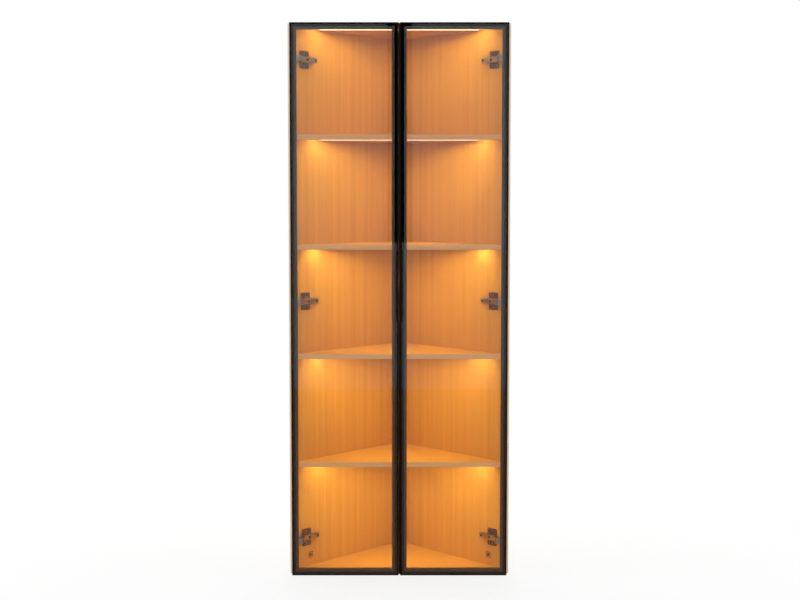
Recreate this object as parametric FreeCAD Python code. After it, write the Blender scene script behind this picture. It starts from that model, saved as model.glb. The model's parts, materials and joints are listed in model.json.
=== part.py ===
import FreeCAD, Part
import math
import os

# Corner display cabinet with two framed glass doors, in millimetres.
# +X is to the right of someone facing the doors, +Y points at the room corner, +Z is up.
# While modelling, Y = 0 is the front of the case boards; the finished pieces are moved in Y so
# that the origin lies on the floor under the middle of the whole part.

V = FreeCAD.Vector
ROOT2 = math.sqrt(2.0)

# ---- case ----
CASE_WIDTH = 800.0            # over the outer front corners of the two side panels
CASE_HEIGHT = 2000.0
BOARD = 18.0                  # melamine-faced board
EDGE_BAND = 1.0
SHELF_COUNT = 4
SHELF_SETBACK = 2.0           # front of the shelves behind the front of the case
FOOT_PROJECTION = 2.0         # feet and glides below the side panels

# ---- doors ----
DOOR_OVERLAP = 3.8            # door edge past the inner front corner of the side panel
DOOR_STANDOFF = 2.0           # bumper thickness between door and case
DOOR_MEETING_GAP = 5.5
DOOR_TOP_REVEAL = 1.0
DOOR_BOTTOM_REVEAL = 1.0
FRAME_WIDTH = 24.0
FRAME_DEPTH = 20.0
FRAME_WALL = 1.8
FRAME_LIP = 5.0               # outer nose that the glass sits behind
LIP_ROUND = 1.0
FLANGE = 1.6                  # web that the glass is bonded to
GLASS = 4.0
GLASS_RECESS = 0.5
GLASS_CLEARANCE = 0.3
GLAZING_TAPE = 0.8
TAPE_WIDTH = 9.0
KEY_LEG = 60.0                # leg of a corner key along each profile
KEY_WIDTH = 10.0
KEY_CLEARANCE = 0.15

# ---- handles ----
HANDLE_LENGTH = 256.0
HANDLE_CENTRE = 1060.0        # above the underside of the case
HANDLE_REACH = 16.0           # in front of the door
HANDLE_FLANGE = 10.0
HANDLE_WALL = 1.2
HANDLE_TAIL = 9.0             # part of the web that lies on the meeting stile
HANDLE_ROUND = 4.0

# ---- light bars ----
LIGHT_SETBACK = 60.0          # centre of the bar behind the front of the case
LIGHT_END_GAP = 9.3           # end of the bar to the side panel, on its centre line
LIGHT_WIDTH = 12.6
LIGHT_DEPTH = 8.0
LIGHT_WALL = 1.2
LIGHT_PROUD = 0.6             # diffuser below the board
TAPE_STRIP = 8.0
TAPE_STRIP_THICK = 0.6
END_CAP = 1.5
GROOVE_CLEARANCE = 0.1

# ---- hinges; plan places are measured from the inner front corner of the side panel ----
HINGE_END_MARGIN = 127.0      # top and bottom hinge from the ends of the case
ARM_PIVOT = (33.2, 24.0)      # outer link on the arm
NOSE_PIVOT = (32.5, -10.0)    # inner link on the arm
CUP_PIVOT = (3.8, -4.0)       # outer link on the cup
CUP_INNER_PIVOT = (10.3, -7.7)    # inner link on the cup, the open pivot
PIN_R = 1.5
PIN_CLEARANCE = 0.05
OPEN_PIVOT_CLEARANCE = 2.25   # play of the inner link round its cup pin
EYE_R = 3.2
OPEN_EYE_WALL = 1.4
LINK_HALF_WIDTH = 2.4
INNER_LINK_HALF = 5.8         # half height of the inner link
FORK_GAP_HALF = 6.3
FORK_OUTER_HALF = 8.4
FORK_WEB = 1.2
ARM_CAVITY_HALF = 8.9
ARM_HALF = 10.3
ARM_WALL = 1.5
ARM_SEAT = 11.0               # arm web above the panel, where it sits on the plate's rail
ARM_FOOT = 3.2                # lower edge of the arm's cheeks above the panel, at the bend
ARM_FOOT_TAIL = 7.5           # the same at the tail
ARM_TAIL_ROUND = 4.0
ARM_SLOT_HALF = 2.6           # open slot for the clamping screw
ARM_SLOT_LENGTH = 13.0
ARM_TAIL = 116.0              # end of the arm along the panel
CUP_CAVITY_HALF = 9.0
CUP_HALF = 10.5
CUP_WALL = 1.0
CUP_EDGE = 3.8                # cup from the outer edge of the door
CUP_SPAN = 28.0
CUP_APRON = 5.5               # front wall of the cup past its cheeks
CUP_PROUD = 1.2               # cup ears behind the door frame
EAR_HALF = 22.0
EAR_FROM_EDGE = 6.1
EAR_WIDTH = 14.0
EAR_ROUND = 4.0
EAR_SCREW_HALF = 16.5
POCKET_CLEARANCE = 0.3
LINK_NOTCH = 4.7              # open outer side of the pocket, where the outer link swings out
PLATE_HALF = 32.0
PLATE_START = 40.0
PLATE_LENGTH = 43.0
PLATE_THICK = 2.5
PLATE_ROUND = 5.0
RAIL_HALF = 7.2
RAIL_START = 50.0
RAIL_END = 112.0
PLATE_SCREW_SETBACK = 61.0
PLATE_SCREW_HALF = 22.0
ADJUST_SCREW_R = 2.0
ADJUST_HEAD_R = 4.4
ADJUST_HEAD = 1.4
ADJUST_DEPTH = 6.0            # shank below the arm's web
ADJUST_PLACES = (68.0, 107.0)     # side adjusting screw and clamping screw along the panel

# ---- screws, feet and small parts ----
CASE_SCREW_R = 3.1
CASE_SCREW_LENGTH = 50.0
CASE_SCREW_HEAD_R = 5.0
CASE_SCREW_HEAD = 3.0
SCREW_LIGHT_GAP = 8.0         # front screw line clear of the light bar
CASE_SCREW_BACK = 440.0       # rear screw line along the side panel
BACK_SCREW_COUNT = 5
WOOD_SCREW_R = 2.4
WOOD_SCREW_DEPTH = 11.0
WOOD_SCREW_HEAD_R = 4.2
WOOD_SCREW_HEAD = 1.6
DOOR_SCREW_R = 1.9
DOOR_SCREW_HEAD_R = 3.4
DOOR_SCREW_HEAD = 1.0
SCREW_CLEARANCE = 0.05
FOOT_SETBACK = 82.0           # foot along the side panel
FOOT_PAD_R = 8.5
FOOT_PAD = 5.0
FOOT_STUD_R = 4.0
FOOT_STUD = 40.0
FOOT_PLATE = 22.0
FOOT_PLATE_THICK = 1.6
FOOT_PLATE_HEIGHT = 57.0      # plate centre above the underside of the case
FOOT_SOCKET_R = 5.0
HEX_KEY_R = 2.9
GLIDE_R = 9.0
GLIDE_FROM_CORNER = 70.0
GLIDE_NAIL_R = 1.2
GLIDE_NAIL = 14.0
BUMPER_R = 4.0
BUMPER_INSET = 9.0
GROMMET_R = 12.0
GROMMET_RIM = 3.0
GROMMET_RIM_THICK = 1.6
GROMMET_MEMBRANE = 1.5
GROMMET_FROM_CORNER = 60.0
SEAL_TIP_GAP = 0.6
SEAL_HANDLE_GAP = 0.5         # fin to the handle that it stands behind
SEAL_FIN = 1.0
SEAL_BASE = 5.0
SEAL_BASE_THICK = 1.2
SEAL_FROM_REAR = 3.0

# ---- derived ----
Z_CASE = FOOT_PROJECTION
Z_TOP = Z_CASE + CASE_HEIGHT
CORNER_X = CASE_WIDTH / 2 - BOARD / ROOT2      # inner front corner of a side panel
LIGHT_LENGTH = 2 * (CORNER_X - LIGHT_SETBACK - LIGHT_END_GAP)
CASE_SCREW_TIP = CASE_SCREW_LENGTH - BOARD     # how far a screw reaches into a shelf
CASE_SCREW_FRONT = (
    (LIGHT_SETBACK + LIGHT_WIDTH / 2) * ROOT2 + CASE_SCREW_TIP + CASE_SCREW_R + SCREW_LIGHT_GAP
)
PANEL_SLOPE = BOARD / ROOT2                    # outer front corner behind the inner one
APEX_Y = CASE_WIDTH / 2 + PANEL_SLOPE          # back corner of the case
INNER_APEX_Y = CORNER_X
PANEL_LENGTH = CASE_WIDTH / 2 * ROOT2
SHELF_PITCH = (CASE_HEIGHT - BOARD) / (SHELF_COUNT + 1)
DOOR_EDGE_X = CORNER_X + DOOR_OVERLAP
DOOR_REAR = -DOOR_STANDOFF
DOOR_FRONT = DOOR_REAR - FRAME_DEPTH
DOOR_WIDTH = DOOR_EDGE_X - DOOR_MEETING_GAP / 2
Z_DOOR = Z_CASE + DOOR_BOTTOM_REVEAL
DOOR_HEIGHT = CASE_HEIGHT - DOOR_BOTTOM_REVEAL - DOOR_TOP_REVEAL
FLANGE_FRONT = GLASS_RECESS + GLASS + GLAZING_TAPE     # depths behind the door's front
FLANGE_REAR = FLANGE_FRONT + FLANGE
HANDLE_FRONT = DOOR_FRONT - HANDLE_REACH
Y_MIDDLE = (HANDLE_FRONT + APEX_Y) / 2
HINGE_HEIGHTS = (
    Z_CASE + HINGE_END_MARGIN,
    Z_CASE + CASE_HEIGHT / 2,
    Z_TOP - HINGE_END_MARGIN,
)


# ---- shared shapes ----
def box(x0, x1, y0, y1, z0, z1):
    low = V(min(x0, x1), min(y0, y1), min(z0, z1))
    return Part.makeBox(abs(x1 - x0), abs(y1 - y0), abs(z1 - z0), low)


def prism(points, z0, z1):
    """A plan outline extruded from z0 to z1."""
    corners = [V(x, y, z0) for x, y in points]
    face = Part.Face(Part.makePolygon(corners + corners[:1]))
    return face.extrude(V(0, 0, z1 - z0))


def rod(radius, start, end):
    """A round bar from one point to another."""
    axis = end - start
    return Part.makeCylinder(radius, axis.Length, start, axis)


def upright(radius, place, z0, z1):
    """A vertical round bar at a plan place."""
    return Part.makeCylinder(radius, z1 - z0, V(place[0], place[1], z0))


def headed(start, direction, length, radius, head_radius, head):
    """A screw that starts with its head at start and runs along direction."""
    top = Part.makeCylinder(head_radius, head, start, direction)
    shank = Part.makeCylinder(radius, length, start, direction)
    return top.fuse(shank).removeSplitter()


def clearance_hole(start, direction, length, radius, head_radius, head):
    """The hole for a headed screw, larger by the screw clearance."""
    return headed(
        start,
        direction,
        length + SCREW_CLEARANCE,
        radius + SCREW_CLEARANCE,
        head_radius + SCREW_CLEARANCE,
        head,
    )


def cut_all(shape, tools):
    return shape.cut(tools) if tools else shape


def moved(shape, x=0.0, y=0.0, z=0.0):
    copy = shape.copy()
    copy.translate(V(x, y, z))
    return copy


def mirrored(shape):
    """The same piece on the other side of the cabinet."""
    return shape.mirror(V(0, 0, 0), V(1, 0, 0))


def rounded(shape, radius, is_wanted):
    """Rounds the edges whose length and middle satisfy the test."""
    return shape.makeFillet(
        radius, [e for e in shape.Edges if is_wanted(e.Length, e.CenterOfMass)]
    )


def same(a, b):
    return abs(a - b) < 1e-6


def along_panel(shape):
    """Turns a piece drawn with the panel's inner face on Y = 0 and its front end on X = 0.

    X then runs back along the left panel, +Y goes into the board and -Y into the cabinet.
    """
    turned = shape.copy()
    turned.rotate(V(0, 0, 0), V(0, 0, 1), 45)
    return turned


def on_left_panel(shape):
    return moved(along_panel(shape), x=-CORNER_X)


def in_plan(along, off):
    """Plan point of a place on the left panel: along it, and off it into the cabinet."""
    return ((along + off) / ROOT2, (along - off) / ROOT2)


def at_left_hinge(shape, z):
    """Places a hinge piece drawn about the panel's inner front corner at a hinge height."""
    return moved(shape, -CORNER_X, 0, z)


NODES = {}


def add(name, *solids):
    """Keeps a named piece, or a group of like pieces that stay separate solids."""
    shapes = [moved(s, y=-Y_MIDDLE) for solid in solids for s in solid.Solids]
    NODES[name] = shapes[0] if len(shapes) == 1 else Part.Compound(shapes)


# ---- case boards ----
def board_levels():
    """Underside heights of the bottom, the shelves and the top."""
    return [Z_CASE + i * SHELF_PITCH for i in range(SHELF_COUNT + 2)]


def triangle_board(z, front):
    """A board between the side panels, its front edge ready for the band."""
    edge = front + EDGE_BAND
    half = CORNER_X - edge
    return prism([(-half, edge), (half, edge), (0, INNER_APEX_Y)], z, z + BOARD)


def front_band(z, front):
    half = CORNER_X - front
    points = [
        (-half, front),
        (half, front),
        (half - EDGE_BAND, front + EDGE_BAND),
        (-half + EDGE_BAND, front + EDGE_BAND),
    ]
    return prism(points, z, z + BOARD)


def case_screw_places(z):
    """Start points on the outer face of the left panel, in its own frame."""
    return [V(x, BOARD, z + BOARD / 2) for x in (CASE_SCREW_FRONT, CASE_SCREW_BACK)]


def case_screw(make, start):
    return on_left_panel(
        make(
            start,
            V(0, -1, 0),
            CASE_SCREW_LENGTH,
            CASE_SCREW_R,
            CASE_SCREW_HEAD_R,
            CASE_SCREW_HEAD,
        )
    )


def back_screw_heights():
    step = CASE_HEIGHT / BACK_SCREW_COUNT
    return [Z_CASE + step * (i + 0.5) + BOARD for i in range(BACK_SCREW_COUNT)]


def back_screw(make, z):
    """Through the right panel into the end of the left one, drawn as on the left panel."""
    start = V(PANEL_LENGTH - BOARD / 2, BOARD, z)
    return mirrored(case_screw(make, start))


def foot_tools():
    """Bores for a levelling foot in the left panel: stud, pad and key socket."""
    z_plate = Z_CASE + FOOT_PLATE_HEIGHT
    middle = V(FOOT_SETBACK, BOARD / 2, Z_CASE)
    stud = rod(FOOT_STUD_R + SCREW_CLEARANCE, middle, middle + V(0, 0, FOOT_STUD + 10))
    socket_end = V(FOOT_SETBACK, BOARD / 2, z_plate)
    socket = rod(FOOT_SOCKET_R + SCREW_CLEARANCE, V(FOOT_SETBACK, 0, z_plate), socket_end)
    recess = box(
        FOOT_SETBACK - FOOT_PLATE / 2 - GROOVE_CLEARANCE,
        FOOT_SETBACK + FOOT_PLATE / 2 + GROOVE_CLEARANCE,
        0,
        FOOT_PLATE_THICK / 2,
        z_plate - FOOT_PLATE / 2 - GROOVE_CLEARANCE,
        z_plate + FOOT_PLATE / 2 + GROOVE_CLEARANCE,
    )
    pad_hole = rod(
        FOOT_PAD_R + GROOVE_CLEARANCE, middle, middle + V(0, 0, FOOT_PAD - FOOT_PROJECTION)
    )
    return [on_left_panel(s) for s in (stud, socket, recess, pad_hole)]


def levelling_foot():
    low = V(FOOT_SETBACK, BOARD / 2, 0)
    pad = rod(FOOT_PAD_R, low, low + V(0, 0, FOOT_PAD))
    stud = rod(FOOT_STUD_R, low, low + V(0, 0, Z_CASE + FOOT_STUD))
    return on_left_panel(pad.fuse(stud).removeSplitter())


def foot_plate():
    """Square cover plate with the key socket that turns the foot."""
    z = Z_CASE + FOOT_PLATE_HEIGHT
    half = FOOT_PLATE / 2
    rear = FOOT_PLATE_THICK / 2
    plate = box(
        FOOT_SETBACK - half, FOOT_SETBACK + half, rear - FOOT_PLATE_THICK, rear, z - half, z + half
    )
    socket = rod(FOOT_SOCKET_R, V(FOOT_SETBACK, 0, z), V(FOOT_SETBACK, BOARD / 2, z))
    key = [
        V(
            FOOT_SETBACK + HEX_KEY_R * math.cos(math.radians(60 * i)),
            -FOOT_PLATE_THICK,
            z + HEX_KEY_R * math.sin(math.radians(60 * i)),
        )
        for i in range(7)
    ]
    hexagon = Part.Face(Part.makePolygon(key)).extrude(V(0, BOARD / 3, 0))
    return on_left_panel(plate.fuse(socket).cut(hexagon).removeSplitter())


def glide():
    low = V(PANEL_LENGTH - BOARD - GLIDE_FROM_CORNER, BOARD / 2, 0)
    disc = rod(GLIDE_R, low, low + V(0, 0, FOOT_PROJECTION))
    nail = rod(GLIDE_NAIL_R, low, low + V(0, 0, Z_CASE + GLIDE_NAIL))
    return on_left_panel(disc.fuse(nail).removeSplitter())


def glide_hole():
    low = V(PANEL_LENGTH - BOARD - GLIDE_FROM_CORNER, BOARD / 2, Z_CASE)
    return on_left_panel(rod(GLIDE_NAIL_R + SCREW_CLEARANCE, low, low + V(0, 0, GLIDE_NAIL + 1)))


def plate_screw(make, z):
    """The two screws of a hinge mounting plate, driven into the left panel."""
    top = -PLATE_THICK
    places = [V(PLATE_SCREW_SETBACK, top, z + side * PLATE_SCREW_HALF) for side in (-1, 1)]
    length = PLATE_THICK + WOOD_SCREW_DEPTH
    sizes = (WOOD_SCREW_R, WOOD_SCREW_HEAD_R, WOOD_SCREW_HEAD)
    return [on_left_panel(make(p, V(0, 1, 0), length, *sizes)) for p in places]


def side_panel_tools():
    """Everything that is drilled into both side panels, drawn for the left one."""
    tools = foot_tools() + [glide_hole()]
    for z in board_levels():
        tools += [case_screw(clearance_hole, p) for p in case_screw_places(z)]
    for z in HINGE_HEIGHTS:
        tools += plate_screw(clearance_hole, z)
    return tools


def side_panel_blank(length):
    """A square-cut board without its front band, drawn for the left side."""
    return on_left_panel(box(EDGE_BAND, length, 0, BOARD, Z_CASE, Z_TOP))


def build_case():
    back_tools = [back_screw(clearance_hole, z) for z in back_screw_heights()]
    tools = side_panel_tools()
    add("left_side_panel", cut_all(side_panel_blank(PANEL_LENGTH - BOARD), tools + back_tools))
    right = mirrored(side_panel_blank(PANEL_LENGTH))
    add("right_side_panel", cut_all(right, [mirrored(t) for t in tools] + back_tools))

    names = ["bottom_panel"] + [f"shelf_{i + 1}" for i in range(SHELF_COUNT)] + ["top_panel"]
    end_band = on_left_panel(box(0, EDGE_BAND, 0, BOARD, Z_CASE, Z_TOP))
    bands = [end_band, mirrored(end_band)]
    screws = [back_screw(headed, z) for z in back_screw_heights()]
    for name, z in zip(names, board_levels()):
        front = SHELF_SETBACK if name.startswith("shelf") else 0.0
        holes = [case_screw(clearance_hole, p) for p in case_screw_places(z)]
        board = cut_all(triangle_board(z, front), holes + [mirrored(h) for h in holes])
        if name != "bottom_panel":
            board = board.cut(light_groove(z))
        if name == "top_panel":
            board = board.cut(grommet_hole())
        add(name, board)
        bands.append(front_band(z, front))
        left = [case_screw(headed, p) for p in case_screw_places(z)]
        screws += left + [mirrored(s) for s in left]
    add("edge_bands", *bands)
    add("case_screws", *screws)

    for name, piece in (
        ("levelling_feet", levelling_foot()),
        ("foot_key_plates", foot_plate()),
        ("rear_glides", glide()),
    ):
        add(name, piece, mirrored(piece))


# ---- cable grommet in the top panel, closed by a thin membrane ----
def grommet_place():
    return (0.0, INNER_APEX_Y - GROMMET_FROM_CORNER)


def grommet_hole():
    return upright(GROMMET_R + SCREW_CLEARANCE, grommet_place(), Z_TOP - BOARD, Z_TOP)


def build_grommet():
    place = grommet_place()
    low, high = Z_TOP - BOARD, Z_TOP
    body = upright(GROMMET_R, place, low, high)
    rim = upright(GROMMET_R + GROMMET_RIM, place, high, high + GROMMET_RIM_THICK)
    under = upright(GROMMET_R + GROMMET_RIM, place, low - GROMMET_RIM_THICK, low)
    hollow_r = GROMMET_R - GROMMET_RIM
    middle = (low + high) / 2
    upper = upright(hollow_r, place, middle + GROMMET_MEMBRANE / 2, high + GROMMET_RIM_THICK)
    lower = upright(hollow_r, place, low - GROMMET_RIM_THICK, middle - GROMMET_MEMBRANE / 2)
    add("cable_grommet", body.fuse([rim, under]).cut([upper, lower]).removeSplitter())


# ---- light bars under the top and the shelves ----
def light_groove(z):
    half = LIGHT_LENGTH / 2 + GROOVE_CLEARANCE
    side = LIGHT_WIDTH / 2 + GROOVE_CLEARANCE
    return box(
        -half, half, LIGHT_SETBACK - side, LIGHT_SETBACK + side, z, z + LIGHT_DEPTH + GROOVE_CLEARANCE
    )


def light_channel(z):
    """A U profile, open downwards, between its end caps."""
    half = LIGHT_LENGTH / 2 - END_CAP
    side = LIGHT_WIDTH / 2
    outer = box(-half, half, LIGHT_SETBACK - side, LIGHT_SETBACK + side, z, z + LIGHT_DEPTH)
    inside = side - LIGHT_WALL
    hollow = box(
        -half, half, LIGHT_SETBACK - inside, LIGHT_SETBACK + inside, z, z + LIGHT_DEPTH - LIGHT_WALL
    )
    return outer.cut(hollow)


def light_diffuser(z):
    """A domed cover clipped into the channel, standing proud of the board."""
    half = LIGHT_LENGTH / 2 - END_CAP
    inside = LIGHT_WIDTH / 2 - LIGHT_WALL
    shoulder = LIGHT_PROUD / 3
    profile = [
        V(-half, LIGHT_SETBACK - inside, z + LIGHT_WALL),
        V(-half, LIGHT_SETBACK - inside, z - shoulder),
        V(-half, LIGHT_SETBACK, z - LIGHT_PROUD),
        V(-half, LIGHT_SETBACK + inside, z - shoulder),
        V(-half, LIGHT_SETBACK + inside, z + LIGHT_WALL),
    ]
    edges = [
        Part.LineSegment(profile[0], profile[1]).toShape(),
        Part.Arc(profile[1], profile[2], profile[3]).toShape(),
        Part.LineSegment(profile[3], profile[4]).toShape(),
        Part.LineSegment(profile[4], profile[0]).toShape(),
    ]
    return Part.Face(Part.Wire(edges)).extrude(V(2 * half, 0, 0))


def light_tape(z):
    half = LIGHT_LENGTH / 2 - END_CAP
    roof = z + LIGHT_DEPTH - LIGHT_WALL
    return box(
        -half,
        half,
        LIGHT_SETBACK - TAPE_STRIP / 2,
        LIGHT_SETBACK + TAPE_STRIP / 2,
        roof - TAPE_STRIP_THICK,
        roof,
    )


def light_end_caps(z):
    half = LIGHT_LENGTH / 2
    side = LIGHT_WIDTH / 2
    y0, y1 = LIGHT_SETBACK - side, LIGHT_SETBACK + side
    low = z - LIGHT_PROUD / 3
    return [box(s * half, s * (half - END_CAP), y0, y1, low, z + LIGHT_DEPTH) for s in (-1, 1)]


def build_lights():
    levels = board_levels()[1:]
    for number, z in enumerate(levels, start=1):
        add(f"light_channel_{number}", light_channel(z))
    add("light_diffusers", *[light_diffuser(z) for z in levels])
    add("light_tapes", *[light_tape(z) for z in levels])
    add("light_end_caps", *[cap for z in levels for cap in light_end_caps(z)])


# ---- door frames ----
# A profile is drawn with its outer edge on X = 0 and its front on Y = 0, and runs up in Z.
def frame_profile(length):
    nose = prism(
        [(0, 0), (FRAME_LIP, 0), (FRAME_LIP, FLANGE_FRONT), (0, FLANGE_FRONT)], 0, length
    )
    nose = rounded(
        nose, LIP_ROUND, lambda _, c: same(c.x, 0) and same(c.y, 0) and same(c.z, length / 2)
    )
    body = box(0, FRAME_WIDTH, FLANGE_FRONT, FRAME_DEPTH, 0, length)
    chamber = box(
        FRAME_WALL, FRAME_WIDTH - FRAME_WALL, FLANGE_REAR, FRAME_DEPTH - FRAME_WALL, 0, length
    )
    return nose.fuse(body.cut(chamber)).removeSplitter()


def mitre(length):
    """Keeps what lies between two 45 degree cuts that meet the outer edge at its ends."""
    w = FRAME_WIDTH
    outline = [V(0, -1, 0), V(w, -1, w), V(w, -1, length - w), V(0, -1, length)]
    face = Part.Face(Part.makePolygon(outline + outline[:1]))
    return face.extrude(V(0, FRAME_DEPTH + 2, 0))


def mitred_profile(length):
    return frame_profile(length).common(mitre(length))


def left_outer_stile():
    return moved(mitred_profile(DOOR_HEIGHT), -DOOR_EDGE_X, DOOR_FRONT, Z_DOOR)


def left_inner_stile():
    stile = mirrored(mitred_profile(DOOR_HEIGHT))
    return moved(stile, -DOOR_MEETING_GAP / 2, DOOR_FRONT, Z_DOOR)


def left_rail(top):
    """A rail: the profile laid down along X, its outer edge down, or up for the top rail."""
    rail = mitred_profile(DOOR_WIDTH)
    rail.rotate(V(0, 0, 0), V(0, 1, 0), 90)
    rail = rail.mirror(V(0, 0, 0), V(0, 0, 1))
    z = Z_DOOR
    if top:
        rail = rail.mirror(V(0, 0, 0), V(0, 0, 1))
        z = Z_DOOR + DOOR_HEIGHT
    return moved(rail, -DOOR_EDGE_X, DOOR_FRONT, z)


def door_rectangle(inset, y0, y1):
    """A rectangle over the left door, set in from its outer edges."""
    return box(
        -DOOR_EDGE_X + inset,
        -DOOR_MEETING_GAP / 2 - inset,
        y0,
        y1,
        Z_DOOR + inset,
        Z_DOOR + DOOR_HEIGHT - inset,
    )


def left_glass():
    front = DOOR_FRONT + GLASS_RECESS
    return door_rectangle(FRAME_LIP + GLASS_CLEARANCE, front, front + GLASS)


def left_tape():
    front = DOOR_FRONT + GLASS_RECESS + GLASS
    inset = FRAME_LIP + GLASS_CLEARANCE
    outer = door_rectangle(inset, front, front + GLAZING_TAPE)
    return outer.cut(door_rectangle(inset + TAPE_WIDTH, front, front + GLAZING_TAPE))


def left_corner_keys():
    """Angle pieces that fill the chambers at the four mitres."""
    wall = FRAME_WALL + KEY_CLEARANCE
    y0 = DOOR_FRONT + FLANGE_REAR + KEY_CLEARANCE
    y1 = DOOR_REAR - FRAME_WALL - KEY_CLEARANCE
    keys = []
    for x, sx in ((-DOOR_EDGE_X, 1), (-DOOR_MEETING_GAP / 2, -1)):
        for z, sz in ((Z_DOOR, 1), (Z_DOOR + DOOR_HEIGHT, -1)):
            x0, x1, x2 = (x + sx * d for d in (wall, wall + KEY_WIDTH, KEY_LEG))
            z0, z1, z2 = (z + sz * d for d in (wall, wall + KEY_WIDTH, KEY_LEG))
            leg = box(x0, x1, y0, y1, z0, z2)
            keys.append(leg.fuse(box(x0, x2, y0, y1, z0, z1)).removeSplitter())
    return keys


# ---- handle ----
def handle_ends():
    middle = Z_CASE + HANDLE_CENTRE
    return middle - HANDLE_LENGTH / 2, middle + HANDLE_LENGTH / 2


def left_handle():
    """An edge pull: a web on the meeting edge and a flange turned over the glass."""
    edge = -DOOR_MEETING_GAP / 2
    outer = edge + HANDLE_WALL
    outline = [
        (outer, DOOR_FRONT + HANDLE_TAIL),
        (outer, HANDLE_FRONT),
        (outer - HANDLE_FLANGE, HANDLE_FRONT),
        (outer - HANDLE_FLANGE, HANDLE_FRONT + HANDLE_WALL),
        (edge, HANDLE_FRONT + HANDLE_WALL),
        (edge, DOOR_FRONT + HANDLE_TAIL),
    ]
    pull = prism(outline, *handle_ends())
    free_x = outer - HANDLE_FLANGE
    pull = rounded(
        pull, HANDLE_ROUND, lambda size, c: same(c.x, free_x) and same(size, HANDLE_WALL)
    )
    return pull.cut([handle_screw(clearance_hole, side) for side in (-1, 1)])


def handle_screw(make, side):
    """A countersunk screw from the gap into the meeting stile."""
    z = Z_CASE + HANDLE_CENTRE + side * (HANDLE_LENGTH / 2 - 20)
    start = V(-DOOR_MEETING_GAP / 2 + HANDLE_WALL, DOOR_FRONT + FRAME_LIP - 1, z)
    length = HANDLE_WALL + FRAME_LIP - 1
    return make(start, V(-1, 0, 0), length, DOOR_SCREW_R - 0.4, DOOR_SCREW_R + 0.6, 0.8)


# ---- hinges, drawn about the panel's inner front corner with their middle on Z = 0 ----
def capsule(start, end, radius, z0, z1):
    """A flat link outline: two round ends and the bar between them."""
    a, b = V(*start, z0), V(*end, z0)
    along = (b - a).normalize()
    side = V(-along.y, along.x, 0) * radius
    arc_a = Part.Arc(a + side, a - along * radius, a - side).toShape()
    line_1 = Part.LineSegment(a - side, b - side).toShape()
    arc_b = Part.Arc(b - side, b + along * radius, b + side).toShape()
    line_2 = Part.LineSegment(b + side, a + side).toShape()
    return Part.Face(Part.Wire([arc_a, line_1, arc_b, line_2])).extrude(V(0, 0, z1 - z0))


def outer_link():
    """Forked link: two plates joined by a web on the side that faces the panel."""
    hole_r = PIN_R + PIN_CLEARANCE
    link = capsule(CUP_PIVOT, ARM_PIVOT, EYE_R, -FORK_OUTER_HALF, FORK_OUTER_HALF)
    start, end = V(*CUP_PIVOT, 0), V(*ARM_PIVOT, 0)
    along = (end - start).normalize()
    normal = V(-along.y, along.x, 0)
    reach = (end - start).Length
    keep = EYE_R - FORK_WEB
    corners = [
        start + along * (2 * EYE_R) + normal * keep,
        start + along * (reach - 2 * EYE_R) + normal * keep,
        start + along * (reach - 2 * EYE_R) + normal * (2 * EYE_R),
        start + along * (2 * EYE_R) + normal * (2 * EYE_R),
    ]
    web_zone = prism([(c.x, c.y) for c in corners], -FORK_GAP_HALF, FORK_GAP_HALF)
    gap = capsule(CUP_PIVOT, ARM_PIVOT, 2 * EYE_R, -FORK_GAP_HALF, FORK_GAP_HALF).cut(web_zone)
    holes = [upright(hole_r, p, -ARM_HALF, ARM_HALF) for p in (CUP_PIVOT, ARM_PIVOT)]
    return link.cut([gap] + holes)


def inner_link():
    """Solid link with a wide eye round the cup pin, where the four-bar loop is left open."""
    z = INNER_LINK_HALF
    bar = capsule(NOSE_PIVOT, CUP_INNER_PIVOT, LINK_HALF_WIDTH, -z, z)
    hole_r = PIN_R + OPEN_PIVOT_CLEARANCE
    eyes = [
        upright(EYE_R, NOSE_PIVOT, -z, z),
        upright(hole_r + OPEN_EYE_WALL, CUP_INNER_PIVOT, -z, z),
    ]
    holes = [
        upright(PIN_R + PIN_CLEARANCE, NOSE_PIVOT, -z, z),
        upright(hole_r, CUP_INNER_PIVOT, -z, z),
    ]
    return bar.fuse(eyes).cut(holes).removeSplitter()


def hinge_arm():
    """Bent channel: it sits on the plate's rail and turns 45 degrees to reach into the cup."""
    web_face = ARM_SEAT + ARM_WALL
    nose_right = ARM_PIVOT[0] + EYE_R + 0.5 + ARM_WALL
    nose_left = NOSE_PIVOT[0] - EYE_R - 0.6
    nose_front = NOSE_PIVOT[1] - EYE_R - 0.4
    bend_right = (nose_right, nose_right - web_face * ROOT2)
    bend_left = (nose_left, nose_left - ARM_FOOT * ROOT2)
    outline = [
        in_plan(ARM_TAIL, web_face),
        bend_right,
        (nose_right, NOSE_PIVOT[1]),
        (nose_right - EYE_R, nose_front),
        (nose_left + 1, nose_front),
        (nose_left, nose_front + 1),
        bend_left,
        in_plan(ARM_TAIL, ARM_FOOT_TAIL),
    ]
    inner_right = nose_right - ARM_WALL
    cavity = [
        in_plan(ARM_TAIL + 1, ARM_SEAT),
        (inner_right, inner_right - ARM_SEAT * ROOT2),
        (inner_right, nose_front - 1),
        (nose_left - 1, nose_front - 1),
        (nose_left - 1, bend_left[1]),
        in_plan(ARM_TAIL + 1, 0),
    ]
    body = prism(outline, -ARM_HALF, ARM_HALF)
    body = body.cut(prism(cavity, -ARM_CAVITY_HALF, ARM_CAVITY_HALF))
    holes = [
        upright(PIN_R + PIN_CLEARANCE, p, -ARM_HALF, ARM_HALF) for p in (ARM_PIVOT, NOSE_PIVOT)
    ]
    return body.cut(holes + [along_panel(t) for t in arm_tail_tools()])


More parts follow.
